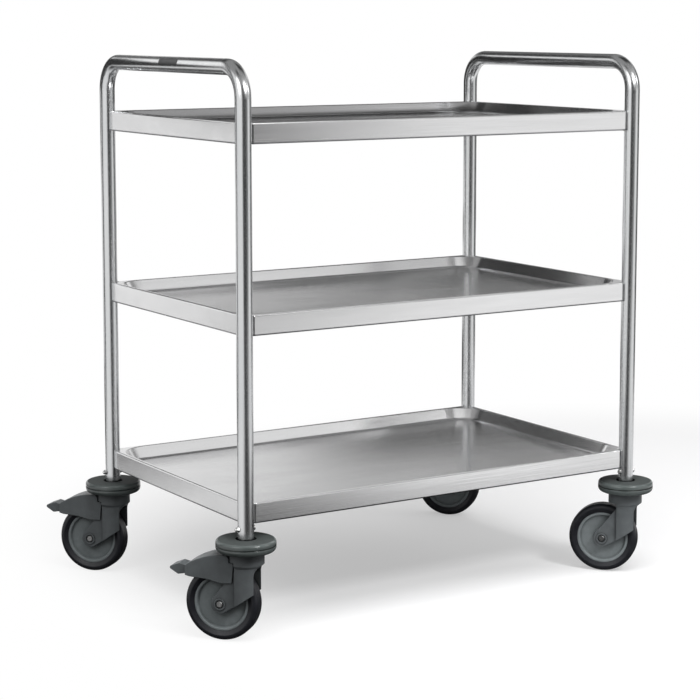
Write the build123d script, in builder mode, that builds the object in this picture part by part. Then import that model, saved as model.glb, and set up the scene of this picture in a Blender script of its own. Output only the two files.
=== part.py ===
from build123d import *
import os

# Posts and handles: the four post axes stand on the corners of a rectangle.
post_spacing_x = 800.0
post_spacing_y = 500.0
handle_top = 950.0
tube_diameter = 26.9
tube_wall = 1.6
bend_radius = 50.0
tube_foot = 163.0

# The castors trail to one side, so the frame's middle stands beside the footprint's middle.
frame_x = 22.31
frame_y = -27.99

# Shelves: height of each skirt's lower edge above the floor, then the pressed section.
shelf_heights = {"bottom": 194.0, "middle": 504.0, "top": 814.0}
skirt_height = 35.0
skirt_offset = 3.0
sheet = 0.9
notch_edge_radius = 4.5
rim_radius = 3.0
rim_width = 7.0
tray_depth = 21.0
tray_wall_angle = 32.0
tray_corner_radius = 58.0
tray_floor_radius = 8.0
hem_radius = 2.5
hem_width = 12.0
hem_corner_radius = 40.0

# Sound-deadening pad glued under each tray floor.
pad_length = 700.0
pad_width = 400.0
pad_thickness = 4.0
pad_corner_radius = 30.0

# Cross bolt and domed nut that hold each castor stem in its post.
bolt_height = 187.5
bolt_radius = 2.5
bolt_head_radius = 4.75
bolt_head_height = 2.8
nut_across_flats = 8.0
nut_hex_height = 3.6
nut_dome_radius = 3.6
nut_thread_depth = 4.5

# Bumper disc.
bumper_bottom = 150.5
bumper_top = 171.0
bumper_radius = 50.0
bumper_top_round = 5.0
bumper_bottom_round = 8.0
bumper_groove_height = 161.5
bumper_groove_width = 1.8
bumper_groove_depth = 1.4
bumper_recess_radius = 17.5

# Castor stem: pin in the post, flange over the fork head, kingpin with a riveted end.
stem_top = 222.0
flange_radius = 27.0
flange_bottom = 146.6
kingpin_radius = 6.0
rivet_radius = 9.5
rivet_top = 134.5
rivet_bottom = 131.5
running_clearance = 0.05

# Castor: local X points the way the wheel trails behind the swivel axis.
castor_heading = 131.0
trail = 39.0
wheel_radius = 62.5

# Fork: round head, two half-round legs, flat side plates back to the axle.
head_radius = 30.5
head_top = 150.0
head_bottom = 130.0
head_edge_round = 1.5
cup_radius = 27.4
cup_floor = 146.2
column_radius = 28.0
column_top = 126.0
column_back = 12.0
column_front = -19.0
crown_flare_start = 113.0
leg_foot_back = 61.0
leg_foot_front = 82.0
leg_edge_round = 2.5
slot_half_width = 18.0
slot_top = 123.5
arch_radius = 14.0
rivet_pocket_radius = 10.5
rivet_pocket_top = 135.0
plate_thickness = 2.5
plate_top = 121.0
axle_eye_radius = 15.4
boss_radius = 10.0
boss_recess_radius = 7.4
boss_height = 1.8
bearing_inner_radius = 15.6
bearing_race_radius = 20.4
bearing_depth = 4.8

# Axle, wheel bearings, hub and tyre.
axle_radius = 4.0
axle_head_radius = 5.2
axle_head_height = 2.0
axle_head_chamfer = 1.0
bearing_outer_radius = 11.0
bearing_width = 7.0
hub_half_width = 16.5
hub_boss_radius = 15.5
hub_boss_draft = 2.0
web_half_width = 8.5
web_radius = 40.5
lip_inner_radius = 42.0
lip_half_width = 13.6
lip_chamfer = 1.2
tyre_inner_radius = 47.0
tyre_inner_half_width = 12.8
tyre_half_width = 16.0
tyre_wall_radius = 54.0
shoulder_radius = 55.0
shoulder_round = 7.6
tread_half_width = 8.5

# Brake pedal: hood over the wheel, rocking on a pin below the fork head.
pivot_x = 21.5
pivot_z = 128.5
pin_radius = 2.5
lug_radius = 5.0
lug_inner = 9.0
lug_outer = 17.8
brake_headroom = 135.0
hood_front = (26.0, 146.0)
hood_middle = (64.0, 141.3)
hood_back = (95.5, 127.0)
neck_top = (102.0, 122.0)
pad_back = (112.5, 124.5)
pad_tip = (132.5, 117.0)
pad_under = (114.5, 106.0)
neck_under = (100.5, 108.5)
cheek_back = (91.0, 106.0)
cheek_middle = (62.0, 104.0)
cheek_front = (36.0, 98.5)
cheek_heel = (16.8, 99.5)
cheek_top = (13.6, 131.5)
pedal_corner_round = 3.0
pedal_edge_round = 1.0
pedal_half_width = 23.4
pedal_inner_half_width = 21.0
pedal_boss_radius = 5.0
pin_half_length = 22.0
pin_end_gap = 0.3
pedal_void_radius = 73.0
pedal_void_front = 32.0
pedal_head_clearance = 1.4
pad_start = 98.5
pad_half_width = 13.5
pad_shoulder_round = 6.0
shoe_inner_radius = 69.7
shoe_half_width = 13.0
shoe_start_angle = 52.0
shoe_end_angle = 76.0

tube_radius = tube_diameter / 2
pin_fit_radius = tube_radius - tube_wall
handle_axis = handle_top - tube_radius
shelf_length = post_spacing_x + 2 * skirt_offset
shelf_width = post_spacing_y + 2 * skirt_offset
plate_outer = slot_half_width + plate_thickness
wheel_axle = Plane(origin=(trail, 0, wheel_radius), x_dir=(1, 0, 0), z_dir=(0, -1, 0))

corners = {
    "front_left": (-1, -1),
    "front_right": (1, -1),
    "back_left": (-1, 1),
    "back_right": (1, 1),
}


def write_piece(piece, name):
    """Label a finished piece and write it to its own file."""
    piece.label = name
    export_step(piece, f"parts/{name}.step")


def write_placed(piece, name, location):
    """Write a copy of a piece at its place in the trolley."""
    with BuildPart() as placed:
        with Locations(location):
            add(piece)
    write_piece(placed.part, name)


def post_location(corner):
    """Foot of a post on the floor."""
    side_x, side_y = corners[corner]
    return Location((frame_x + side_x * post_spacing_x / 2, frame_y + side_y * post_spacing_y / 2, 0))


def castor_location(corner):
    """Swivel axis of a castor on the floor, turned to the way it trails."""
    return post_location(corner) * Location((0, 0, 0), (0, 0, castor_heading))


os.makedirs("parts", exist_ok=True)

# End frame: one tube bent into an upturned U, cross-drilled near both feet.
with BuildPart() as end_frame:
    with BuildLine(Plane.YZ):
        FilletPolyline(
            (-post_spacing_y / 2, tube_foot),
            (-post_spacing_y / 2, handle_axis),
            (post_spacing_y / 2, handle_axis),
            (post_spacing_y / 2, tube_foot),
            radius=bend_radius,
        )
    with BuildSketch(Plane((0, -post_spacing_y / 2, tube_foot))):
        Circle(tube_radius)
        Circle(pin_fit_radius, mode=Mode.SUBTRACT)
    sweep()
    with Locations((0, -post_spacing_y / 2, bolt_height), (0, post_spacing_y / 2, bolt_height)):
        Cylinder(bolt_radius, 2 * tube_diameter, rotation=(0, 90, 0), mode=Mode.SUBTRACT)

for end, side_x in (("left", -1), ("right", 1)):
    end_location = Location((frame_x + side_x * post_spacing_x / 2, frame_y, 0))
    write_placed(end_frame.part, f"{end}_end_frame", end_location)


def shelf_outline(inset):
    """Plan outline of a shelf, notched round each post and moved inwards by inset."""
    with BuildSketch() as outline:
        Rectangle(shelf_length - 2 * inset, shelf_width - 2 * inset)
        with GridLocations(post_spacing_x, post_spacing_y, 2, 2):
            Circle(tube_radius + inset, mode=Mode.SUBTRACT)
        fillet(outline.vertices(), notch_edge_radius - inset)
    return outline.sketch


def tray_recess(grow):
    """The sunken tray's hollow, made larger all round by grow."""
    with BuildPart() as recess:
        with BuildSketch(Plane.XY.offset(skirt_height)):
            RectangleRounded(
                shelf_length - 2 * (rim_width - grow),
                shelf_width - 2 * (rim_width - grow),
                tray_corner_radius + grow,
            )
        extrude(amount=-(tray_depth + grow), taper=tray_wall_angle)
        fillet(recess.faces().sort_by(Axis.Z)[0].edges(), tray_floor_radius + grow)
    return recess.part


# The space under the pressed sheet, open below inside the hem.
with BuildPart() as shelf_hollow:
    with BuildSketch(Plane.XY.offset(sheet)):
        add(shelf_outline(sheet))
    extrude(amount=skirt_height - 2 * sheet)
    fillet(shelf_hollow.edges().group_by(Axis.Z)[-1], rim_radius - sheet)
    fillet(shelf_hollow.edges().group_by(Axis.Z)[0], hem_radius - sheet)
    add(tray_recess(sheet), mode=Mode.SUBTRACT)
    with BuildSketch():
        RectangleRounded(shelf_length - 2 * hem_width, shelf_width - 2 * hem_width, hem_corner_radius)
    extrude(amount=2 * sheet)

# Shelf: skirt with a rolled rim and hem, sunken tray with sloping walls.
with BuildPart() as shelf:
    with BuildSketch():
        add(shelf_outline(0))
    extrude(amount=skirt_height)
    fillet(shelf.edges().group_by(Axis.Z)[-1], rim_radius)
    fillet(shelf.edges().group_by(Axis.Z)[0], hem_radius)
    add(tray_recess(0), mode=Mode.SUBTRACT)
    rim_land = shelf.faces().filter_by(Axis.Z).sort_by(Axis.Z)[-1]
    fillet(rim_land.inner_wires()[0].edges(), rim_radius)
    add(shelf_hollow.part, mode=Mode.SUBTRACT)

pad_top = skirt_height - tray_depth - sheet
with BuildPart() as shelf_pad:
    with BuildSketch(Plane.XY.offset(pad_top - pad_thickness)):
        RectangleRounded(pad_length, pad_width, pad_corner_radius)
    extrude(amount=pad_thickness)

for level, height in shelf_heights.items():
    shelf_location = Location((frame_x, frame_y, height))
    write_placed(shelf.part, f"{level}_shelf", shelf_location)
    write_placed(shelf_pad.part, f"{level}_shelf_pad", shelf_location)

# Castor stem, turned: pin, flange, kingpin and rivet head, cross-drilled for its bolt.
with BuildPart() as stem:
    with BuildSketch(Plane.XZ):
        with BuildLine():
            Polyline(
                (0, rivet_bottom),
                (rivet_radius, rivet_bottom),
                (rivet_radius, rivet_top),
                (kingpin_radius, rivet_top),
                (kingpin_radius, flange_bottom),
                (flange_radius, flange_bottom),
                (flange_radius, bumper_bottom),
                (pin_fit_radius, bumper_bottom),
                (pin_fit_radius, stem_top),
                (0, stem_top),
                close=True,
            )
        make_face()
    revolve(axis=Axis.Z)
    chamfer(stem.edges().group_by(Axis.Z)[-1], tube_wall)
    with Locations((0, 0, bolt_height)):
        Cylinder(bolt_radius, tube_diameter, rotation=(0, 90, 0), mode=Mode.SUBTRACT)

# Bumper disc, turned: rounded rim with a parting groove, recess for the end of the post.
with BuildPart() as bumper:
    with BuildSketch(Plane.XZ) as bumper_section:
        with BuildLine():
            Polyline(
                (pin_fit_radius, bumper_bottom),
                (bumper_radius, bumper_bottom),
                (bumper_radius, bumper_top),
                (bumper_recess_radius, bumper_top),
                (bumper_recess_radius, tube_foot),
                (pin_fit_radius, tube_foot),
                close=True,
            )
        make_face()
        fillet(bumper_section.vertices().group_by(Axis.Y)[0].sort_by(Axis.X)[-1], bumper_bottom_round)
        fillet(bumper_section.vertices().group_by(Axis.Y)[-1].sort_by(Axis.X)[-1], bumper_top_round)
    revolve(axis=Axis.Z)
    with BuildSketch(Plane.XZ):
        with Locations((bumper_radius, bumper_groove_height)):
            Rectangle(2 * bumper_groove_depth, bumper_groove_width)
    revolve(axis=Axis.Z, mode=Mode.SUBTRACT)

# Cross bolt: button head on the trolley's inner side, shank through post and stem.
bolt_length = tube_radius + nut_thread_depth
with BuildPart() as stem_bolt:
    with BuildSketch(Plane.YZ.offset(-tube_radius)):
        Circle(bolt_radius)
    extrude(amount=tube_radius + bolt_length)
    with BuildSketch(Plane.YZ.offset(-tube_radius)):
        Circle(bolt_head_radius)
    extrude(amount=-bolt_head_height)
    fillet(stem_bolt.edges().sort_by(Axis.X)[0], bolt_head_height / 2)

# Domed cap nut on the outer side.
with BuildPart() as cap_nut:
    with BuildSketch(Plane.YZ.offset(tube_radius)):
        RegularPolygon(nut_across_flats / 2, 6, major_radius=False)
    extrude(amount=nut_hex_height)
    with Locations((tube_radius + nut_hex_height, 0, 0)):
        Sphere(nut_dome_radius)
    with BuildSketch(Plane.YZ.offset(tube_radius)):
        Circle(bolt_radius)
    extrude(amount=nut_thread_depth, mode=Mode.SUBTRACT)


def bolt_location(corner):
    """Cross bolt of a post, with its nut pointing out of the trolley's end."""
    turn = 180 if corners[corner][0] < 0 else 0
    return post_location(corner) * Location((0, 0, bolt_height), (0, 0, turn))


with BuildPart() as stem_bolts:
    with Locations([bolt_location(corner) for corner in corners]):
        add(stem_bolt.part)
write_piece(stem_bolts.part, "stem_bolts")

with BuildPart() as stem_cap_nuts:
    with Locations([bolt_location(corner) for corner in corners]):
        add(cap_nut.part)
write_piece(stem_cap_nuts.part, "stem_cap_nuts")


def castor_fork(braked):
    """Moulded fork; the braked one has room and two lugs under its head for the pedal."""
    underside = brake_headroom if braked else head_bottom
    with BuildPart() as fork:
        with BuildSketch(Plane.XZ) as turned_section:
            with BuildLine():
                Polyline(
                    (0, leg_foot_back),
                    (column_radius, leg_foot_back),
                    (column_radius, column_top),
                    (head_radius, head_bottom),
                    (head_radius, head_top),
                    (0, head_top),
                    close=True,
                )
            make_face()
            fillet(turned_section.vertices().group_by(Axis.Y)[-1].sort_by(Axis.X)[-1], head_edge_round)
        revolve(axis=Axis.Z)
        with BuildSketch(Plane.XZ):
            with BuildLine():
                flare = TangentArc(
                    (column_front, crown_flare_start), (-head_radius, head_bottom), tangent=(0, 1)
                )
                Polyline(
                    flare @ 1,
                    (-2 * head_radius, head_bottom),
                    (-2 * head_radius, 0),
                    (column_front, 0),
                    flare @ 0,
                )
            make_face()
        extrude(amount=2 * head_radius, both=True, mode=Mode.SUBTRACT)
        with BuildSketch(Plane.YZ) as slot:
            with Locations((0, slot_top / 2)):
                Rectangle(2 * slot_half_width, slot_top)
            fillet(slot.vertices().group_by(Axis.Y)[-1], arch_radius)
        extrude(amount=2 * head_radius, both=True, mode=Mode.SUBTRACT)
        with BuildSketch(Plane.XZ):
            with BuildLine():
                Polyline(
                    (column_back, leg_foot_back),
                    (column_front, leg_foot_front),
                    (column_front, 0),
                    (2 * head_radius, 0),
                    (2 * head_radius, underside),
                    (column_back, underside),
                    close=True,
                )
            make_face()
        extrude(amount=2 * head_radius, both=True, mode=Mode.SUBTRACT)
        front_edges = fork.edges().filter_by(Axis.Z).group_by(Axis.X)[0].sort_by(Axis.Y)
        fillet([front_edges[0], front_edges[-1]], leg_edge_round)
        for side in (-1, 1):
            with BuildSketch(Plane.XZ.offset(side * slot_half_width)):
                with Locations((trail, wheel_radius)):
                    Circle(axle_eye_radius)
                Polygon(
                    (column_back, leg_foot_back),
                    (column_back, plate_top),
                    (0, leg_foot_front),
                    align=None,
                )
                make_hull()
            extrude(amount=side * plate_thickness)
            with BuildSketch(wheel_axle.offset(side * plate_outer)):
                Circle(boss_radius)
                Circle(boss_recess_radius, mode=Mode.SUBTRACT)
            extrude(amount=side * boss_height)
        if braked:
            for side in (-1, 1):
                with BuildSketch(Plane.XZ.offset(side * lug_inner)):
                    with Locations((pivot_x, pivot_z)):
                        Circle(lug_radius)
                    with Locations((pivot_x, (pivot_z + underside) / 2)):
                        Rectangle(2 * lug_radius, underside - pivot_z)
                extrude(amount=side * (lug_outer - lug_inner))
            with Locations((pivot_x, 0, pivot_z)):
                Cylinder(pin_radius, 2 * pedal_half_width, rotation=(90, 0, 0), mode=Mode.SUBTRACT)
        with BuildSketch(wheel_axle):
            Circle(axle_radius)
        extrude(amount=2 * plate_outer, both=True, mode=Mode.SUBTRACT)
        with BuildSketch(Plane.XY.offset(head_top)):
            Circle(cup_radius)
        extrude(amount=cup_floor - head_top, mode=Mode.SUBTRACT)
        with BuildSketch(Plane.XY.offset(cup_floor)):
            Circle(bearing_race_radius)
            Circle(bearing_inner_radius, mode=Mode.SUBTRACT)
        extrude(amount=-bearing_depth, mode=Mode.SUBTRACT)
        with BuildSketch(Plane.XY.offset(cup_floor)):
            Circle(kingpin_radius + running_clearance)
        extrude(amount=-head_top, mode=Mode.SUBTRACT)
        with BuildSketch(Plane.XY.offset(rivet_pocket_top)):
            Circle(rivet_pocket_radius)
        extrude(amount=-head_top, mode=Mode.SUBTRACT)
    return fork.part


# Ring of the swivel bearing, in its groove in the fork head.
with BuildPart() as swivel_bearing:
    with BuildSketch(Plane.XY.offset(cup_floor)):
        Circle(bearing_race_radius)
        Circle(bearing_inner_radius, mode=Mode.SUBTRACT)
    extrude(amount=-bearing_depth)

# Axle: plain pin with a rivet head at each end.
with BuildPart() as axle:
    with BuildSketch(wheel_axle):
        Circle(axle_radius)
    extrude(amount=plate_outer, both=True)
    for side in (-1, 1):
        with BuildSketch(wheel_axle.offset(side * plate_outer)):
            Circle(axle_head_radius)
        extrude(amount=side * axle_head_height)
    for rim in (axle.edges().sort_by(Axis.Y)[0], axle.edges().sort_by(Axis.Y)[-1]):
        chamfer(rim, axle_head_chamfer)

# Wheel bearings: one in each end of the hub.
with BuildPart() as wheel_bearings:
    for side in (-1, 1):
        with BuildSketch(wheel_axle.offset(side * hub_half_width)):
            Circle(bearing_outer_radius)
            Circle(axle_radius + running_clearance, mode=Mode.SUBTRACT)
        extrude(amount=-side * bearing_width)

# Sections of hub and tyre are drawn with the radius upwards and the wheel's width sideways.
wheel_section = Plane(origin=(trail, 0, wheel_radius), x_dir=(0, 1, 0), z_dir=(1, 0, 0))
wheel_axis = Axis((trail, 0, wheel_radius), (0, 1, 0))

with BuildPart() as hub:
    with BuildSketch(wheel_section):
        with BuildLine():
            Polyline(
                (0, tyre_inner_radius),
                (0, bearing_outer_radius),
                (hub_half_width, bearing_outer_radius),
                (hub_half_width, hub_boss_radius),
                (web_half_width, hub_boss_radius + hub_boss_draft),
                (web_half_width, web_radius),
                (lip_half_width - lip_chamfer, lip_inner_radius),
                (lip_half_width, lip_inner_radius + lip_chamfer),
                (lip_half_width, tyre_inner_radius - lip_chamfer),
                (tyre_inner_half_width, tyre_inner_radius),
                close=True,
            )
        make_face()
        mirror(about=Plane.YZ)
    revolve(axis=wheel_axis)

with BuildPart() as tyre:
    with BuildSketch(wheel_section):
        with BuildLine():
            wall = Polyline(
                (tread_half_width, wheel_radius),
                (0, wheel_radius),
                (0, tyre_inner_radius),
                (tyre_inner_half_width, tyre_inner_radius),
                (tyre_half_width, tyre_wall_radius),
                (tyre_half_width, shoulder_radius),
            )
            RadiusArc(wall @ 1, wall @ 0, -shoulder_round)
        make_face()
        mirror(about=Plane.YZ)
    revolve(axis=wheel_axis)

# Brake pedal: hood with two cheeks, and a wedge-shaped foot pad behind the wheel.
with BuildPart() as pedal:
    with BuildSketch(Plane.XZ) as pedal_outline:
        with BuildLine():
            ThreePointArc(hood_front, hood_middle, hood_back)
            Polyline(hood_back, neck_top, pad_back, pad_tip, pad_under, neck_under, cheek_back, cheek_middle)
            Polyline(cheek_middle, cheek_front, cheek_heel, cheek_top, hood_front)
        make_face()
        fillet(pedal_outline.vertices(), pedal_corner_round)
    extrude(amount=pedal_half_width, both=True)
    fillet(pedal.faces().sort_by(Axis.Y)[0].edges(), pedal_edge_round)
    fillet(pedal.faces().sort_by(Axis.Y)[-1].edges(), pedal_edge_round)
    with Locations((pivot_x, 0, pivot_z)):
        Cylinder(pedal_boss_radius, 2 * pedal_half_width, rotation=(90, 0, 0))
    with BuildSketch(wheel_axle):
        Circle(pedal_void_radius)
    extrude(amount=pedal_inner_half_width, both=True, mode=Mode.SUBTRACT)
    with BuildSketch(Plane.XY.offset(wheel_radius)):
        with Locations((pedal_void_front / 2, 0)):
            Rectangle(pedal_void_front, 2 * pedal_inner_half_width)
    extrude(amount=head_top, mode=Mode.SUBTRACT)
    with BuildSketch(Plane.XY.offset(brake_headroom - pedal_head_clearance)):
        Circle(head_radius + pedal_head_clearance)
    extrude(amount=head_top, mode=Mode.SUBTRACT)
    for side in (-1, 1):
        with BuildSketch() as pad_side:
            Polygon(
                (pad_start, side * pad_half_width),
                (2 * pad_start, side * pad_half_width),
                (2 * pad_start, side * 2 * pedal_half_width),
                (pad_start, side * 2 * pedal_half_width),
                align=None,
            )
            inner_corner = pad_side.vertices().sort_by_distance((pad_start, side * pad_half_width))[0]
            fillet(inner_corner, pad_shoulder_round)
        extrude(amount=head_top, mode=Mode.SUBTRACT)
    with Locations((pivot_x, 0, pivot_z)):
        Cylinder(
            pin_radius + running_clearance,
            2 * (pin_half_length + pin_end_gap),
            rotation=(90, 0, 0),
            mode=Mode.SUBTRACT,
        )

# Pivot pin, held in the fork's lugs.
with BuildPart() as pedal_pin:
    with Locations((pivot_x, 0, pivot_z)):
        Cylinder(pin_radius, 2 * pin_half_length, rotation=(90, 0, 0))

# Brake shoe: curved pad under the hood.
with BuildPart() as brake_shoe:
    with BuildSketch(wheel_axle):
        with BuildLine():
            CenterArc((0, 0), shoe_inner_radius, shoe_start_angle, shoe_end_angle - shoe_start_angle)
            CenterArc((0, 0), pedal_void_radius, shoe_start_angle, shoe_end_angle - shoe_start_angle)
            for angle in (shoe_start_angle, shoe_end_angle):
                inner_end = Vector(shoe_inner_radius, 0).rotate(Axis.Z, angle)
                outer_end = Vector(pedal_void_radius, 0).rotate(Axis.Z, angle)
                Line(inner_end, outer_end)
        make_face()
    extrude(amount=shoe_half_width, both=True)

plain_fork = castor_fork(False)
braked_fork = castor_fork(True)

for corner, (side_x, side_y) in corners.items():
    post = post_location(corner)
    castor = castor_location(corner)
    write_placed(stem.part, f"{corner}_stem", post)
    write_placed(bumper.part, f"{corner}_bumper", post)
    write_placed(braked_fork if side_x < 0 else plain_fork, f"{corner}_fork", castor)
    write_placed(swivel_bearing.part, f"{corner}_swivel_bearing", castor)
    write_placed(axle.part, f"{corner}_axle", castor)
    write_placed(wheel_bearings.part, f"{corner}_wheel_bearings", castor)
    write_placed(hub.part, f"{corner}_hub", castor)
    write_placed(tyre.part, f"{corner}_tyre", castor)
    if side_x < 0:
        write_placed(pedal.part, f"{corner}_brake_pedal", castor)
        write_placed(pedal_pin.part, f"{corner}_pedal_pin", castor)
        write_placed(brake_shoe.part, f"{corner}_brake_shoe", castor)
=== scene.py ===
import math

import bmesh
import bpy
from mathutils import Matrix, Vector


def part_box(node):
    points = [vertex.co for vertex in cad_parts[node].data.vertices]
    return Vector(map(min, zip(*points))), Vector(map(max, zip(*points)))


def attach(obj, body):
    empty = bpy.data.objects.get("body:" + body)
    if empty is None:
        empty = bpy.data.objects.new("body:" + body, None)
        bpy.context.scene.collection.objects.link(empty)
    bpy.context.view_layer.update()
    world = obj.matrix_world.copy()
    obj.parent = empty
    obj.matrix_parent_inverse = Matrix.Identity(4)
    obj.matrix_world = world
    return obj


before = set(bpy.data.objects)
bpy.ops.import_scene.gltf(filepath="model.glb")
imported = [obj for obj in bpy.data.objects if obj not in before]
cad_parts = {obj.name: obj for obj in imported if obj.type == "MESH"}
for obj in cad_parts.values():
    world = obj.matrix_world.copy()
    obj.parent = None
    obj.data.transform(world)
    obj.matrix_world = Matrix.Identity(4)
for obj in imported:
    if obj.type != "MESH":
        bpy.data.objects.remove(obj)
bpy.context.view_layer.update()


# End frames.
# Each end is one length of welded stainless tube, bent twice into an arch whose top is the push handle.
# The tube is ground to a satin finish; the legs pass the shelf corners and end in the castor bumpers.

def add_node(tree, kind, values=(), **options):
    """A new node with its options, and with plain values on the inputs that are named or numbered."""
    node = tree.nodes.new(kind)
    for option, choice in options.items():
        setattr(node, option, choice)
    for socket, value in dict(values).items():
        node.inputs[socket].default_value = value
    return node


def shader_of(finish):
    """The shader that a finish's nodes lead to."""
    return finish.node_tree.nodes["Principled BSDF"]


def new_finish(name, metallic, ior=1.5):
    """A material ready for the nodes that give the surface its detail."""
    finish = bpy.data.materials.new(name)
    finish.use_nodes = True
    shader_of(finish).inputs["Metallic"].default_value = metallic
    shader_of(finish).inputs["IOR"].default_value = ior
    return finish


def mottle(finish, patch, detail=3.0):
    """Noise fixed to the piece; patch is the size of its patches in metres along X, Y and Z."""
    tree = finish.node_tree
    place = add_node(tree, "ShaderNodeTexCoord")
    fit = add_node(tree, "ShaderNodeMapping", {"Scale": [1 / side for side in patch]})
    noise = add_node(tree, "ShaderNodeTexNoise", {"Scale": 1.0, "Detail": detail})
    tree.links.new(place.outputs["Object"], fit.inputs["Vector"])
    tree.links.new(fit.outputs["Vector"], noise.inputs["Vector"])
    return noise.outputs["Fac"]


# Nearly all of the noise lies between these two values.
noise_low = 0.3
noise_high = 0.7


def vary(finish, pattern, smooth, rough):
    """Let the roughness follow a pattern, from smooth to rough."""
    tree = finish.node_tree
    limits = {"From Min": noise_low, "From Max": noise_high, "To Min": smooth, "To Max": rough}
    spread = add_node(tree, "ShaderNodeMapRange", limits)
    tree.links.new(pattern, spread.inputs["Value"])
    tree.links.new(spread.outputs["Result"], shader_of(finish).inputs["Roughness"])


def tint(finish, pattern, dark, light):
    """Let the colour follow a pattern, from dark to light."""
    tree = finish.node_tree
    ramp = add_node(tree, "ShaderNodeValToRGB")
    dark_stop, light_stop = ramp.color_ramp.elements
    dark_stop.position = noise_low
    dark_stop.color = (*dark, 1.0)
    light_stop.position = noise_high
    light_stop.color = (*light, 1.0)
    tree.links.new(pattern, ramp.inputs["Fac"])
    tree.links.new(ramp.outputs["Color"], shader_of(finish).inputs["Base Color"])


def dress(finish, *names):
    """Put a finish on pieces that keep the shape of their solids."""
    for name in names:
        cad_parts[name].material_slots[0].material = finish


satin_tube = new_finish("satin_tube", metallic=1.0)
tube_clouds = mottle(satin_tube, patch=(0.08, 0.08, 0.2))
tube_polish = mottle(satin_tube, patch=(0.02, 0.02, 0.12))
tint(satin_tube, tube_clouds, dark=(0.62, 0.63, 0.64), light=(0.67, 0.675, 0.68))
vary(satin_tube, tube_polish, smooth=0.23, rough=0.27)
dress(satin_tube, "left_end_frame", "right_end_frame")


# Handle strip.
# A bare strip of dark plastic film with rounded corners, cut from sheet.
# It is glued along the outer side of the left handle and bends round the tube.

tube_radius = 0.01345
strip_length = 0.067
strip_width = 0.0112
strip_corner = 0.0025
strip_thickness = 0.0004
strip_sink = 0.0001
strip_middle_y = -0.0415
strip_middle_angle = math.radians(158.0)
strip_sharp_angle = math.radians(40.0)
strip_rows = 12
strip_columns = 24
handle_low, handle_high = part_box("left_end_frame")
handle_x = (handle_low[0] + handle_high[0]) / 2
handle_z = handle_high[2] - tube_radius


def relief(finish, pattern, depth):
    """Raise and sink the surface by a pattern, depth in metres."""
    tree = finish.node_tree
    bump = add_node(tree, "ShaderNodeBump", {"Strength": 1.0, "Distance": depth})
    tree.links.new(pattern, bump.inputs["Height"])
    tree.links.new(bump.outputs["Normal"], shader_of(finish).inputs["Normal"])


def fine_grain(finish, size, depth):
    """The even grain that a mould or a roller leaves, its size and depth in metres."""
    relief(finish, mottle(finish, patch=(size, size, size), detail=2.0), depth)


def new_piece(name, shape, finish):
    """A smooth piece from the faces made so far, put into the scene with its finish on."""
    bmesh.ops.recalc_face_normals(shape, faces=shape.faces)
    for side in shape.faces:
        side.smooth = True
    mesh = bpy.data.meshes.new(name)
    shape.to_mesh(mesh)
    shape.free()
    mesh.materials.append(finish)
    piece = bpy.data.objects.new(name, mesh)
    bpy.context.scene.collection.objects.link(piece)
    return piece


def strip_row(shape, radius, row):
    """One row of points along the strip, at a radius from the middle of the tube."""
    offset = -strip_width / 2 * math.cos(math.pi * row / strip_rows)
    into_corner = max(0.0, abs(offset) - (strip_width / 2 - strip_corner))
    past_corner = math.sqrt(max(0.0, strip_corner ** 2 - into_corner ** 2))
    half_length = strip_length / 2 - strip_corner + past_corner
    angle = strip_middle_angle + offset / tube_radius
    x = handle_x + radius * math.cos(angle)
    z = handle_z + radius * math.sin(angle)
    steps = [2 * column / strip_columns - 1 for column in range(strip_columns + 1)]
    return [shape.verts.new((x, strip_middle_y + half_length * step, z)) for step in steps]


strip_film = new_finish("strip_film", metallic=0.0)
film_clouds = mottle(strip_film, patch=(0.006, 0.012, 0.006))
tint(strip_film, film_clouds, dark=(0.045, 0.046, 0.048), light=(0.065, 0.066, 0.068))
vary(strip_film, film_clouds, smooth=0.36, rough=0.48)
fine_grain(strip_film, size=0.0004, depth=0.00001)

strip = bmesh.new()
under = [strip_row(strip, tube_radius - strip_sink, row) for row in range(strip_rows + 1)]
face = [strip_row(strip, tube_radius + strip_thickness, row) for row in range(strip_rows + 1)]
for row in range(strip_rows):
    for column in range(strip_columns):
        cell = [(row, column), (row, column + 1), (row + 1, column + 1), (row + 1, column)]
        strip.faces.new([face[r][c] for r, c in cell])
        strip.faces.new([under[r][c] for r, c in reversed(cell)])
edge = [(0, c) for c in range(strip_columns)]
edge += [(r, strip_columns) for r in range(strip_rows)]
edge += [(strip_rows, c) for c in range(strip_columns, 0, -1)]
edge += [(r, 0) for r in range(strip_rows, 0, -1)]
for (r, c), (next_r, next_c) in zip(edge, edge[1:] + edge[:1]):
    strip.faces.new([under[r][c], under[next_r][next_c], face[next_r][next_c], face[r][c]])
handle_strip = new_piece("handle_strip", strip, strip_film)
handle_strip.data.set_sharp_from_angle(angle=strip_sharp_angle)
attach(handle_strip, "trolley")


# Shelves.
# Each is one pressed stainless sheet: a sunken tray with sloping walls, a rolled rim, a skirt and a hem.
# The brushed grain runs along the shelf, so on the end skirts, which are folded down, it stands upright.

levels = ("bottom", "middle", "top")


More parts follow.
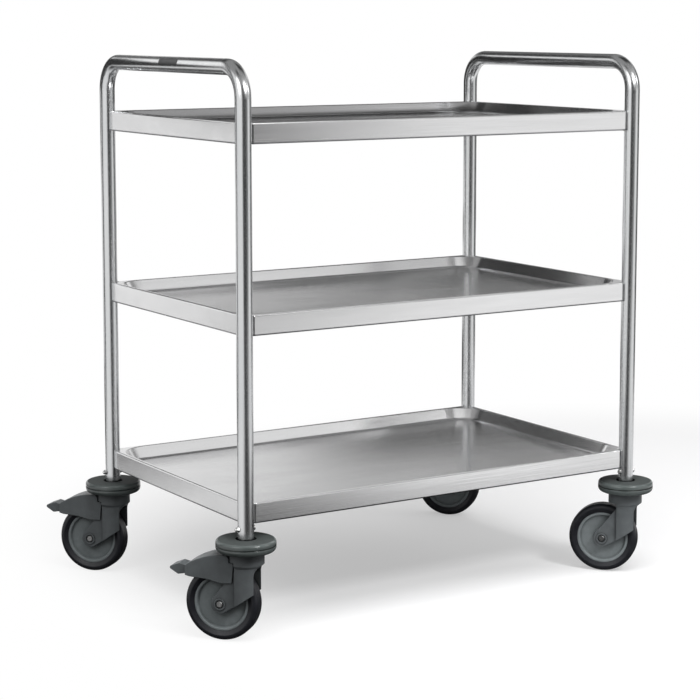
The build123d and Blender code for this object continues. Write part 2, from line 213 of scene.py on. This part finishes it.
def painted_hem_shade(finish, shade_until, clear, shade):
    """Paint shade into the foot of the skirt, where the hem's dark reflection falls.

    The two shares of the shelf's height are where the painted shade is full and where it has faded out.
    """
    tree = finish.node_tree
    colour = shader_of(finish).inputs["Base Color"]
    place = add_node(tree, "ShaderNodeTexCoord")
    up = add_node(tree, "ShaderNodeSeparateXYZ")
    limits = {"From Min": shade_until, "From Max": clear}
    fade = add_node(tree, "ShaderNodeMapRange", limits, interpolation_type="SMOOTHSTEP")
    blend = add_node(tree, "ShaderNodeMix", {"A": (*shade, 1.0)}, data_type="RGBA")
    tree.links.new(place.outputs["Generated"], up.inputs["Vector"])
    tree.links.new(up.outputs["Z"], fade.inputs["Value"])
    tree.links.new(fade.outputs["Result"], blend.inputs["Factor"])
    tree.links.new(colour.links[0].from_socket, blend.inputs["B"])
    tree.links.new(blend.outputs["Result"], colour)


brushed_sheet = new_finish("brushed_sheet", metallic=1.0)
sheet_clouds = mottle(brushed_sheet, patch=(0.25, 0.06, 0.02))
sheet_grain = mottle(brushed_sheet, patch=(0.14, 0.0009, 0.0009), detail=2.0)
tint(brushed_sheet, sheet_clouds, dark=(0.74, 0.74, 0.745), light=(0.80, 0.80, 0.805))
vary(brushed_sheet, sheet_grain, smooth=0.17, rough=0.27)
# Painted shade: the foot of every skirt is darkened, standing in for the dark reflection along the hem.
painted_hem_shade(brushed_sheet, shade_until=0.05, clear=0.11, shade=(0.30, 0.30, 0.31))
relief(brushed_sheet, sheet_grain, depth=0.00002)
dress(brushed_sheet, *[f"{level}_shelf" for level in levels])


# Shelf welds.
# Each shelf is welded to its posts from below, in the groove between the tube and the hem of its notch.
# The rippled stainless beads keep a faint straw tint from the heat.

weld_radius = 0.0017
weld_ripples = 12
weld_ripple_depth = 0.13
weld_start = 0.25
weld_growth = 8
weld_rings = 61
weld_sides = 10
weld_span = math.radians(80.0)
weld_lift = 0.0006
weld_off_tube = 0.001
right_low, right_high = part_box("right_end_frame")
post_x = (handle_x, (right_low[0] + right_high[0]) / 2)
post_y = (handle_low[1] + tube_radius, handle_high[1] - tube_radius)


def add_bead(shape, x, y, z, inwards):
    """A bead round the inner side of the post at x and y, thinner where it starts and stops."""
    rings = []
    for step in range(weld_rings):
        share = step / (weld_rings - 1)
        angle = inwards + weld_span * (share - 0.5)
        swell = 1.0 + weld_ripple_depth * math.cos(2 * math.pi * weld_ripples * share)
        run_out = min(1.0, weld_start + weld_growth * share, weld_start + weld_growth * (1 - share))
        bead = weld_radius * swell * run_out
        ring = []
        for turn in range(weld_sides):
            round_bead = 2 * math.pi * turn / weld_sides
            reach = tube_radius + weld_off_tube + bead * math.cos(round_bead)
            ring.append(shape.verts.new((
                x + reach * math.cos(angle),
                y + reach * math.sin(angle),
                z + bead * math.sin(round_bead),
            )))
        rings.append(ring)
    for ring, following in zip(rings, rings[1:]):
        for turn in range(weld_sides):
            after = (turn + 1) % weld_sides
            shape.faces.new([ring[turn], ring[after], following[after], following[turn]])
    shape.faces.new(rings[0])
    shape.faces.new(rings[-1])


weld_metal = new_finish("weld_metal", metallic=1.0)
weld_clouds = mottle(weld_metal, patch=(0.003, 0.003, 0.003))
tint(weld_metal, weld_clouds, dark=(0.44, 0.40, 0.34), light=(0.60, 0.57, 0.53))
vary(weld_metal, weld_clouds, smooth=0.28, rough=0.45)

for level in levels:
    beads = bmesh.new()
    weld_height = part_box(f"{level}_shelf")[0][2] + weld_lift
    for end, x in enumerate(post_x):
        for side, y in enumerate(post_y):
            add_bead(beads, x, y, weld_height, inwards=math.atan2(1 - 2 * side, 1 - 2 * end))
    shelf_welds = new_piece(f"{level}_shelf_welds", beads, weld_metal)
    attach(shelf_welds, "trolley")


# Sound-deadening mats.
# A butyl mat with a creased silver foil face keeps crockery from drumming on each tray floor.
# The mats are cut from sheet and glued under the trays.

mat_foil = new_finish("mat_foil", metallic=1.0)
foil_creases = mottle(mat_foil, patch=(0.012, 0.012, 0.012), detail=5.0)
tint(mat_foil, foil_creases, dark=(0.78, 0.78, 0.78), light=(0.86, 0.86, 0.855))
vary(mat_foil, foil_creases, smooth=0.28, rough=0.42)
relief(mat_foil, foil_creases, depth=0.0006)
dress(mat_foil, *[f"{level}_shelf_pad" for level in levels])


# Stem bolts and cap nuts.
# A cross bolt and a domed nut clamp each castor stem in the foot of its post.
# Both are turned from stainless bar, which leaves fine marks on them.

turned_stainless = new_finish("turned_stainless", metallic=1.0)
bolt_clouds = mottle(turned_stainless, patch=(0.004, 0.004, 0.004))
turning_marks = mottle(turned_stainless, patch=(0.002, 0.0002, 0.002))
tint(turned_stainless, bolt_clouds, dark=(0.60, 0.60, 0.60), light=(0.72, 0.72, 0.71))
vary(turned_stainless, turning_marks, smooth=0.14, rough=0.3)
dress(turned_stainless, "stem_bolts", "stem_cap_nuts")


# Castor stems, bearings and pedal pins.
# Each stem stands in the foot of its post and carries a fork on a swivel bearing; each hub has two bearings.
# All are turned steel with a clear zinc plating, which leaves them a little dull and cloudy.

corners = ("front_left", "front_right", "back_left", "back_right")
braked_corners = ("front_left", "back_left")

plated_steel = new_finish("plated_steel", metallic=1.0)
plating_clouds = mottle(plated_steel, patch=(0.006, 0.006, 0.006))
plating_bloom = mottle(plated_steel, patch=(0.003, 0.003, 0.003))
tint(plated_steel, plating_clouds, dark=(0.56, 0.57, 0.58), light=(0.68, 0.68, 0.67))
vary(plated_steel, plating_bloom, smooth=0.22, rough=0.38)
for corner in corners:
    dress(plated_steel, f"{corner}_stem", f"{corner}_swivel_bearing", f"{corner}_wheel_bearings")
for corner in braked_corners:
    dress(plated_steel, f"{corner}_pedal_pin")


# Axles.
# A plated steel rod through fork and hub carries each wheel.
# It is riveted over at both ends, which leaves the plating grey and hammered.

rivet_roughness = 0.4

riveted_steel = new_finish("riveted_steel", metallic=1.0)
shader_of(riveted_steel).inputs["Roughness"].default_value = rivet_roughness
rivet_marks = mottle(riveted_steel, patch=(0.0016, 0.0016, 0.0016))
tint(riveted_steel, rivet_marks, dark=(0.30, 0.30, 0.30), light=(0.46, 0.46, 0.455))
relief(riveted_steel, rivet_marks, depth=0.0001)
dress(riveted_steel, *[f"{corner}_axle" for corner in corners])


# Bumpers.
# A grey disc between each post and its castor takes the knocks.
# It is moulded plastic, and the two halves of its mould meet in a fine groove.

# A spot takes the full painted shade, and then none, at these shares of open space in front of it.
fullest_shade_share = 0.25
unshaded_share = 0.95
corner_shade_samples = 8
edge_samples = 4
# A face counts as a flat top from the first of these upward slopes, and fully at the second.
top_begins = 0.9
top_full = 0.99


def darken(finish, share):
    """Multiply a finish's colour by a share that comes from its nodes, which paints shade into it."""
    tree = finish.node_tree
    colour = shader_of(finish).inputs["Base Color"]
    shade_scale = add_node(tree, "ShaderNodeVectorMath", operation="SCALE")
    tree.links.new(colour.links[0].from_socket, shade_scale.inputs[0])
    tree.links.new(share, shade_scale.inputs["Scale"])
    tree.links.new(shade_scale.outputs["Vector"], colour)


def matt_shaded_top(finish, matt, shade):
    """Make a moulding's flat top matt, as scuffs do, and darken its colour there to a share as painted shade.
    """
    tree = finish.node_tree
    roughness = shader_of(finish).inputs["Roughness"]
    facing = add_node(tree, "ShaderNodeNewGeometry")
    up = add_node(tree, "ShaderNodeSeparateXYZ")
    upward = add_node(tree, "ShaderNodeMapRange", {"From Min": top_begins, "From Max": top_full})
    scuff = add_node(tree, "ShaderNodeMix", {"B": matt})
    painted_top_shade = add_node(tree, "ShaderNodeMapRange", {"To Min": 1.0, "To Max": shade})
    tree.links.new(facing.outputs["Normal"], up.inputs["Vector"])
    tree.links.new(up.outputs["Z"], upward.inputs["Value"])
    tree.links.new(upward.outputs["Result"], scuff.inputs["Factor"])
    tree.links.new(roughness.links[0].from_socket, scuff.inputs["A"])
    tree.links.new(scuff.outputs["Result"], roughness)
    tree.links.new(upward.outputs["Result"], painted_top_shade.inputs["Value"])
    darken(finish, painted_top_shade.outputs["Result"])


def shaded_corners(finish, reach, shade):
    """Darken a moulding to a share of its colour as painted shade, within reach metres of another face."""
    tree = finish.node_tree
    near = add_node(tree, "ShaderNodeAmbientOcclusion", {"Distance": reach}, samples=corner_shade_samples)
    limits = {"From Min": fullest_shade_share, "From Max": unshaded_share, "To Min": shade}
    unshaded = add_node(tree, "ShaderNodeMapRange", limits)
    tree.links.new(near.outputs["AO"], unshaded.inputs["Value"])
    darken(finish, unshaded.outputs["Result"])


def soft_edges(finish, radius):
    """Round the edges of a moulding that has its grain, over a radius in metres, as a worn mould does."""
    tree = finish.node_tree
    grain = shader_of(finish).inputs["Normal"].links[0].from_node
    rounded = add_node(tree, "ShaderNodeBevel", {"Radius": radius}, samples=edge_samples)
    tree.links.new(rounded.outputs["Normal"], grain.inputs["Normal"])


bumper_plastic = new_finish("bumper_plastic", metallic=0.0)
bumper_clouds = mottle(bumper_plastic, patch=(0.02, 0.02, 0.02))
tint(bumper_plastic, bumper_clouds, dark=(0.092, 0.108, 0.105), light=(0.110, 0.127, 0.124))
vary(bumper_plastic, bumper_clouds, smooth=0.16, rough=0.24)
# Painted shade: each bumper's flat top is darkened to half its colour.
matt_shaded_top(bumper_plastic, matt=0.7, shade=0.5)
# Painted shade: each bumper is darkened near other faces, in its corners and crevices.
shaded_corners(bumper_plastic, reach=0.02, shade=0.2)
fine_grain(bumper_plastic, size=0.0007, depth=0.00002)
soft_edges(bumper_plastic, radius=0.002)
dress(bumper_plastic, *[f"{corner}_bumper" for corner in corners])


# Castor forks and brake pedals.
# Each wheel runs in a fork; on the two castors of the left end a brake pedal rocks on a pin through it.
# Both are injection-moulded nylon in the same grey, satin from a lightly spark-eroded mould.

castor_plastic = new_finish("castor_plastic", metallic=0.0, ior=1.32)
castor_clouds = mottle(castor_plastic, patch=(0.015, 0.015, 0.015))
tint(castor_plastic, castor_clouds, dark=(0.116, 0.127, 0.132), light=(0.137, 0.150, 0.156))
vary(castor_plastic, castor_clouds, smooth=0.32, rough=0.42)
# Painted shade: forks and pedals are darkened near other faces, in their corners and crevices.
shaded_corners(castor_plastic, reach=0.03, shade=0.15)
fine_grain(castor_plastic, size=0.0008, depth=0.00003)
soft_edges(castor_plastic, radius=0.0015)
dress(castor_plastic, *[f"{corner}_fork" for corner in corners])
dress(castor_plastic, *[f"{corner}_brake_pedal" for corner in braked_corners])


# Hubs.
# The wheel centres are moulded in a paler, stiffer plastic than the forks.
# The lip that carries the tyre is turned smooth.

hub_plastic = new_finish("hub_plastic", metallic=0.0, ior=1.32)
hub_clouds = mottle(hub_plastic, patch=(0.01, 0.01, 0.01))
tint(hub_plastic, hub_clouds, dark=(0.220, 0.246, 0.252), light=(0.256, 0.284, 0.291))
vary(hub_plastic, hub_clouds, smooth=0.34, rough=0.46)
# Painted shade: each hub is darkened near other faces, in its corners and crevices.
shaded_corners(hub_plastic, reach=0.02, shade=0.2)
fine_grain(hub_plastic, size=0.0007, depth=0.00003)
soft_edges(hub_plastic, radius=0.001)
dress(hub_plastic, *[f"{corner}_hub" for corner in corners])


# Tyres and brake shoes.
# The tyres are dark rubber moulded on the hubs; a shoe of the same rubber under each pedal stops the wheel.
# The rubber is mottled a little greyer, as it is once it has run on a floor.

tread_rubber = new_finish("tread_rubber", metallic=0.0, ior=1.42)
rubber_clouds = mottle(tread_rubber, patch=(0.012, 0.012, 0.012), detail=5.0)
tint(tread_rubber, rubber_clouds, dark=(0.015, 0.016, 0.020), light=(0.023, 0.024, 0.029))
vary(tread_rubber, rubber_clouds, smooth=0.34, rough=0.46)
fine_grain(tread_rubber, size=0.0006, depth=0.00004)
dress(tread_rubber, *[f"{corner}_tyre" for corner in corners])
dress(tread_rubber, *[f"{corner}_brake_shoe" for corner in braked_corners])


# Floor.
# A plain white studio floor, painted matt, on which the trolley stands and casts its shadow.
# Further out it fades into the white round it.

floor_reach = 9.0
floor_drop = 0.0004
floor_colour = (0.60, 0.60, 0.605, 1.0)
floor_glow = 0.42
fade_middle = (0.68, 0.02, 0.0)
fade_begins = 0.8
fade_ends = 1.3
square = [(-1, -1), (1, -1), (1, 1), (-1, 1)]


def seen_directly(tree):
    """One where the camera, metal or glass sees the floor or the white, nought where it only lights."""
    path = add_node(tree, "ShaderNodeLightPath")
    either = add_node(tree, "ShaderNodeMath", operation="MAXIMUM")
    any_of_three = add_node(tree, "ShaderNodeMath", operation="MAXIMUM")
    tree.links.new(path.outputs["Is Camera Ray"], either.inputs[0])
    tree.links.new(path.outputs["Is Glossy Ray"], either.inputs[1])
    tree.links.new(either.outputs["Value"], any_of_three.inputs[0])
    tree.links.new(path.outputs["Is Transmission Ray"], any_of_three.inputs[1])
    return any_of_three.outputs["Value"]


def blend_shaders(tree, share, first, second, end):
    """End in the first shader where share is nought and in the second where it is one."""
    mix = add_node(tree, "ShaderNodeMixShader")
    tree.links.new(share, mix.inputs["Fac"])
    tree.links.new(first, mix.inputs[1])
    tree.links.new(second, mix.inputs[2])
    tree.links.new(mix.outputs["Shader"], end.inputs["Surface"])


floor_white = bpy.data.materials.new("floor_white")
floor_white.use_nodes = True
tree = floor_white.node_tree
tree.nodes.clear()
floor_end = add_node(tree, "ShaderNodeOutputMaterial")
floor_paint = add_node(tree, "ShaderNodeBsdfDiffuse", {"Color": floor_colour})
floor_lift = add_node(tree, "ShaderNodeEmission")
floor_lift_level = add_node(tree, "ShaderNodeMath", {1: floor_glow}, operation="MULTIPLY")
floor_near = add_node(tree, "ShaderNodeAddShader")
floor_far = add_node(tree, "ShaderNodeEmission")
floor_place = add_node(tree, "ShaderNodeTexCoord")
floor_distance = add_node(tree, "ShaderNodeVectorMath", {1: fade_middle}, operation="DISTANCE")
fade_limits = {"From Min": fade_begins, "From Max": fade_ends}
floor_fade = add_node(tree, "ShaderNodeMapRange", fade_limits, interpolation_type="SMOOTHSTEP")
tree.links.new(seen_directly(tree), floor_lift_level.inputs[0])
tree.links.new(floor_lift_level.outputs["Value"], floor_lift.inputs["Strength"])
tree.links.new(floor_paint.outputs["BSDF"], floor_near.inputs[0])
tree.links.new(floor_lift.outputs["Emission"], floor_near.inputs[1])
tree.links.new(seen_directly(tree), floor_far.inputs["Strength"])
tree.links.new(floor_place.outputs["Object"], floor_distance.inputs[0])
tree.links.new(floor_distance.outputs["Value"], floor_fade.inputs["Value"])
blend_shaders(
    tree, floor_fade.outputs["Result"], floor_near.outputs["Shader"], floor_far.outputs["Emission"], floor_end
)

floor_mesh = bpy.data.meshes.new("studio_floor")
floor_points = [(a * floor_reach, b * floor_reach, -floor_drop) for a, b in square]
floor_mesh.from_pydata(floor_points, [], [(0, 1, 2, 3)])
floor_mesh.materials.append(floor_white)
studio_floor = bpy.data.objects.new("studio_floor", floor_mesh)
bpy.context.scene.collection.objects.link(studio_floor)


# Surrounding white.
# A bare white studio with no walls in sight.
# The camera and the satin metal see it white; as light it is only a soft fill.

white = (1.0, 1.0, 1.0, 1.0)
fill_level = 0.36

studio_white = bpy.data.worlds.new("studio_white")
bpy.context.scene.world = studio_white
studio_white.use_nodes = True
tree = studio_white.node_tree
tree.nodes.clear()
white_end = add_node(tree, "ShaderNodeOutputWorld")
white_fill = add_node(tree, "ShaderNodeBackground", {"Color": white, "Strength": fill_level})
white_seen = add_node(tree, "ShaderNodeBackground", {"Color": white})
blend_shaders(
    tree, seen_directly(tree), white_fill.outputs["Background"], white_seen.outputs["Background"], white_end
)


# Flags and reflectors.
# Dark cloth panels and white boards round the set, seen only in the metal, give its reflections their bands.
# Some sit in the trolley and on the floor under it as painted shade and painted reflections.
# Level is how bright a panel is, and soft the share of its width and height over which an edge fades.

trolley_x = sum(post_x) / 2
panel_middle = 0.5


def panel_cloth(name, level, soft):
    """A material that glows evenly at a level and fades out at the panel's edges."""
    cloth = bpy.data.materials.new(name)
    cloth.use_nodes = True
    cloth.cycles.emission_sampling = "NONE"
    tree = cloth.node_tree
    tree.nodes.clear()
    end = add_node(tree, "ShaderNodeOutputMaterial")
    clear = add_node(tree, "ShaderNodeBsdfTransparent")
    board = add_node(tree, "ShaderNodeEmission", {"Strength": level})
    place = add_node(tree, "ShaderNodeTexCoord")
    sides = add_node(tree, "ShaderNodeSeparateXYZ")
    cover = add_node(tree, "ShaderNodeMath", operation="MULTIPLY")
    tree.links.new(place.outputs["UV"], sides.inputs["Vector"])
    for number, side in enumerate("XY"):
        inwards = add_node(tree, "ShaderNodeMath", {1: panel_middle}, operation="PINGPONG")
        fade = {"From Max": soft[number]}
        edge = add_node(tree, "ShaderNodeMapRange", fade, interpolation_type="SMOOTHSTEP")
        tree.links.new(sides.outputs[side], inwards.inputs[0])
        tree.links.new(inwards.outputs["Value"], edge.inputs["Value"])
        tree.links.new(edge.outputs["Result"], cover.inputs[number])
    blend_shaders(tree, cover.outputs["Value"], clear.outputs["BSDF"], board.outputs["Emission"], end)
    return cloth


def studio_panel(name, middle, half_width, half_height, level, soft):
    """A panel that neither the camera nor the light meets, from its middle and two half sides as vectors."""
    shape = bmesh.new()
    uv = shape.loops.layers.uv.new("panel")
    points = [[m + a * w + b * h for m, w, h in zip(middle, half_width, half_height)] for a, b in square]
    sheet = shape.faces.new([shape.verts.new(point) for point in points])
    for loop, (a, b) in zip(sheet.loops, square):
        loop[uv].uv = ((1 + a) / 2, (1 + b) / 2)
    mesh = bpy.data.meshes.new(name)
    shape.to_mesh(mesh)
    shape.free()
    mesh.materials.append(panel_cloth(name, level, soft))
    panel = bpy.data.objects.new(name, mesh)
    bpy.context.scene.collection.objects.link(panel)
    panel.visible_camera = False
    panel.visible_diffuse = False
    panel.visible_shadow = False
    panel.visible_transmission = False


def upright_panel(name, middle, half_width, half_height, level, soft):
    """A panel on its edge; half its width is a step along X and Y, half its height a length."""
    studio_panel(name, middle, (*half_width, 0.0), (0.0, 0.0, half_height), level, soft)


def flat_panel(name, middle, half_width, half_depth, level, soft):
    """A panel that lies level; half its width is along X, half its depth along Y."""
    studio_panel(name, middle, (half_width, 0.0, 0.0), (0.0, half_depth, 0.0), level, soft)


# In front and at the sides, for the posts, the handles and the skirts.
upright_panel("front_flag", (-0.62, -2.45, 1.1), (1.35, -0.56), 1.2, level=0.05, soft=(0.12, 0.05))
upright_panel("skirt_flag", (0.75, -2.65, 0.9), (0.95, 0.0), 0.95, level=0.16, soft=(0.45, 0.2))
upright_panel("front_board", (0.05, -2.5, 2.2), (0.74, -0.31), 0.8, level=4.0, soft=(0.35, 0.35))
upright_panel("right_front_flag", (2.6, -2.6, 1.7), (0.9, 0.9), 0.9, level=0.45, soft=(0.3, 0.3))
upright_panel("left_flag", (-1.64, 1.09, 1.0), (0.23, 0.35), 1.1, level=0.12, soft=(0.15, 0.05))
upright_panel("right_flag", (2.2, -0.28, 1.0), (0.12, 1.0), 1.1, level=0.12, soft=(0.15, 0.05))
studio_panel(
    "left_handle_flag", (-0.55, 0.3, 0.925), (0.14, 0.0, 0.04), (0.0, 0.0, 0.08), level=0.05, soft=(0.1, 0.12)
)

# On the floor.
studio_panel(
    "front_floor_flag", (-0.55, -1.5, 0.002), (1.25, 0.0, 0.0), (0.1, 0.9, 0.0), level=0.06, soft=(0.36, 0.15)
)
# Under the trolley, a dark sheet seen only in the metal is a painted shadow in its reflections.
flat_panel("shadow_flag", (0.1, -0.2, 0.001), 0.95, 0.72, level=0.03, soft=(0.12, 0.1))
flat_panel("left_floor_flag", (-0.85, 1.45, 0.003), 0.4, 1.1, level=0.08, soft=(0.2, 0.5))
flat_panel("back_floor_flag", (-0.25, 1.95, 0.004), 1.25, 0.75, level=0.06, soft=(0.1, 0.2))

# Behind, for the floors and walls of the trays.
# In the top tray, two dark sheets seen only in the metal are painted shade in its reflections.
upright_panel("top_back_painted_shade", (0.022, 0.2245, 0.915), (0.38, 0.0), 0.06, level=0.03, soft=(0.05, 0.1))
flat_panel("top_floor_painted_shade", (0.022, 0.183, 0.86), 0.38, 0.016, level=0.03, soft=(0.03, 0.2))
upright_panel("top_tray_flag", (0.7, 1.1, 0.91), (0.85, 0.0), 0.16, level=0.05, soft=(0.2, 0.15))
upright_panel("top_wall_flag", (-0.3, 2.28, 2.72), (0.8, 0.0), 0.5, level=0.02, soft=(0.12, 0.08))
upright_panel("middle_wall_flag", (0.16, 0.62, 0.92), (0.26, 0.0), 0.14, level=0.03, soft=(0.1, 0.1))
upright_panel("middle_tray_flag", (1.3, 1.1, 0.66), (0.5, 0.0), 0.15, level=0.3, soft=(0.45, 0.3))
upright_panel("middle_back_flag", (0.75, 0.45, 0.575), (0.7, 0.0), 0.055, level=0.06, soft=(0.4, 0.4))
upright_panel("bottom_wall_flag", (-0.37, 1.2, 0.98), (0.45, 0.0), 0.37, level=0.03, soft=(0.12, 0.12))
upright_panel("bottom_back_flag", (0.7, 0.45, 0.29), (0.65, 0.0), 0.09, level=0.08, soft=(0.3, 0.35))
upright_panel("back_flag", (-0.2, 2.5, 2.6), (3.4, 0.0), 0.9, level=0.16, soft=(0.05, 0.12))
upright_panel("back_right_flag", (2.05, 2.22, 0.8), (1.5, -0.36), 0.95, level=0.68, soft=(0.35, 0.1))
upright_panel("back_left_board", (-1.4, 2.3, 1.65), (0.9, 0.0), 0.75, level=1.4, soft=(0.2, 0.22))

# Under the top and middle shelves, painted reflections of their undersides for the trays below: glowing
# sheets where the mats look lit, dark ones where they are shaded.
flat_panel("under_top_painted_light", (trolley_x, -0.1, 0.816), 0.392, 0.17, level=0.85, soft=(0.03, 0.08))
flat_panel("under_top_painted_shade", (trolley_x, 0.147, 0.8155), 0.392, 0.07, level=0.2, soft=(0.03, 0.15))
flat_panel("under_top_left_painted_light", (-0.085, 0.147, 0.815), 0.285, 0.07, level=0.75, soft=(0.5, 0.15))
flat_panel("under_middle_painted_light", (trolley_x, -0.0265, 0.506), 0.392, 0.2435, level=0.85, soft=(0.03, 0.06))
flat_panel("under_middle_painted_shade", (0.24, 0.147, 0.5055), 0.174, 0.07, level=0.42, soft=(0.4, 0.15))

# Overhead.
flat_panel("ceiling", (0.0, 0.0, 3.4), 4.5, 4.5, level=0.34, soft=(0.1, 0.1))
flat_panel("ceiling_flag", (1.55, 0.35, 3.36), 1.5, 0.85, level=0.03, soft=(0.1, 0.15))
flat_panel("ceiling_left_flag", (-1.5, -0.75, 3.35), 0.6, 0.6, level=0.03, soft=(0.2, 0.2))
flat_panel("ceiling_right_board", (2.5, -1.5, 3.37), 0.8, 0.6, level=0.8, soft=(0.3, 0.3))


# Lamps.
# One large softbox overhead, kept out of the metal, and three smaller ones in front, right and left.
# All face the middle of the trolley and light it at a plain level.

trolley_y = sum(post_y) / 2


def softbox(name, place, aim_height, size, watts):
    """A square area lamp at a place, turned to face a height above the middle of the trolley."""
    lamp = bpy.data.lights.new(name, "AREA")
    lamp.shape = "SQUARE"
    lamp.size = size
    lamp.energy = watts
    box = bpy.data.objects.new(name, lamp)
    bpy.context.scene.collection.objects.link(box)
    box.location = place
    away_x = place[0] - trolley_x
    away_y = place[1] - trolley_y
    tilt = math.atan2(math.hypot(away_x, away_y), place[2] - aim_height)
    box.rotation_euler = (tilt, 0.0, math.atan2(away_x, -away_y))
    return box


overhead_softbox = softbox("overhead_softbox", (-0.25, -1.15, 3.0), aim_height=0.4, size=1.8, watts=60.0)
overhead_softbox.visible_glossy = False
softbox("front_softbox", (0.45, -2.5, 2.3), aim_height=0.2, size=0.6, watts=36.0)
softbox("right_softbox", (2.6, -1.6, 1.9), aim_height=0.4, size=0.9, watts=8.0)
softbox("left_softbox", (-2.6, -1.0, 2.0), aim_height=0.5, size=1.4, watts=16.0)


# Camera.
# It stands at chest height off the trolley's left front corner, with a long lens, and looks a little down.
# The lens is shifted to bring the trolley to its place in the picture.

sensor_width = 36.0
lens_length = 104.29
lens_shift = -0.1
camera_place = (-1.953, -3.105, 1.013)
camera_dip = 7.34
camera_turn = -32.14

photo_camera = bpy.data.cameras.new("photo_camera")
photo_camera.sensor_width = sensor_width
photo_camera.lens = lens_length
photo_camera.shift_y = lens_shift
viewer = bpy.data.objects.new("photo_camera", photo_camera)
bpy.context.scene.collection.objects.link(viewer)
viewer.location = camera_place
viewer.rotation_euler = (math.radians(90.0 - camera_dip), 0.0, math.radians(camera_turn))
bpy.context.scene.camera = viewer
bpy.context.scene.view_settings.view_transform = "Standard"
